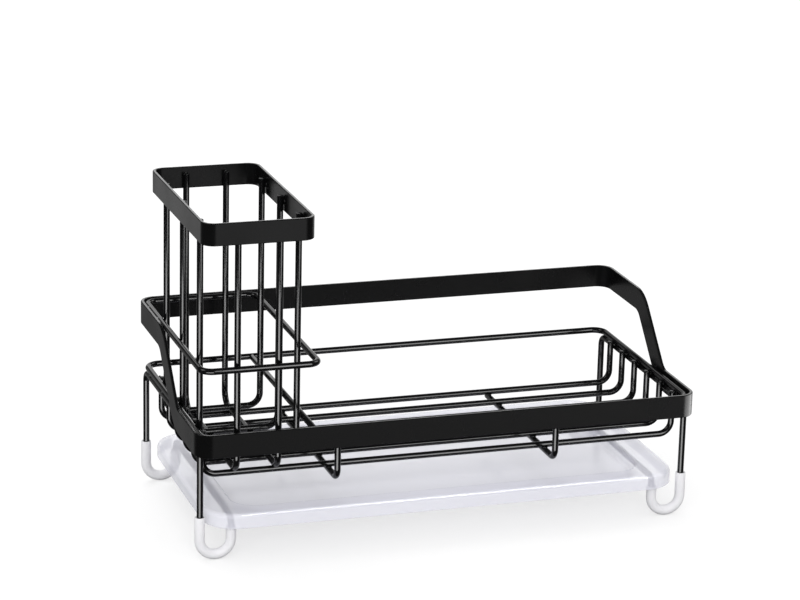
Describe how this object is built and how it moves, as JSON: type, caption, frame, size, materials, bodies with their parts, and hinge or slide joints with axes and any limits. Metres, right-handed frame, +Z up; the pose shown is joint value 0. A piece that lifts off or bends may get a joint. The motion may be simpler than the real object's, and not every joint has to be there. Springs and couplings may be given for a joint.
{
  "type": "sink organizer",
  "caption": "Coated wire sink basket with a raised back rail, a lift-out brush holder, U-shaped feet in clear sleeves and a slide-out drip tray.",
  "frame": {"origin": "on the worktop under the middle of the organizer's outline", "axes": "+X to the right along the organizer, with the brush holder at -X; +Y from its low front to its raised back rail; +Z up"},
  "size_m": [0.314, 0.152, 0.2062],
  "materials": {
    "black_coat": "smooth semi-gloss black powder coat on steel wire and strip",
    "silicone": "milky translucent silicone, satin",
    "tray_plastic": "glossy translucent plastic with a faint blue cast"
  },
  "bodies": {
    "rack": {"band_frame": "black_coat", "basket_ring": "black_coat", "base_wire_1": "black_coat", "base_wire_2": "black_coat", "base_wire_3": "black_coat", "base_wire_4": "black_coat", "base_wire_5": "black_coat", "base_wire_6": "black_coat", "cross_wire_left": "black_coat", "cross_wire_right": "black_coat", "divider_wire": "black_coat", "guard_loop": "black_coat", "leg_frame_left": "black_coat", "leg_frame_right": "black_coat", "foot_sleeve_front_left": "silicone", "foot_sleeve_front_right": "silicone", "foot_sleeve_back_left": "silicone", "foot_sleeve_back_right": "silicone"},
    "brush_holder": {"holder_band": "black_coat", "holder_long_wire_1": "black_coat", "holder_long_wire_2": "black_coat", "holder_side_wire_1": "black_coat", "holder_side_wire_2": "black_coat", "holder_side_wire_3": "black_coat"},
    "drip_tray": {"drip_tray": "tray_plastic"}
  },
  "joints": [
    {"name": "holder_lift", "type": "slide", "parent": "rack", "child": "brush_holder", "axis": [0, 0, 1], "range_m": [0, 0.07]},
    {"name": "tray_slide", "type": "slide", "parent": "rack", "child": "drip_tray", "axis": [0, -1, 0], "range_m": [0, 0.1]}
  ]
}
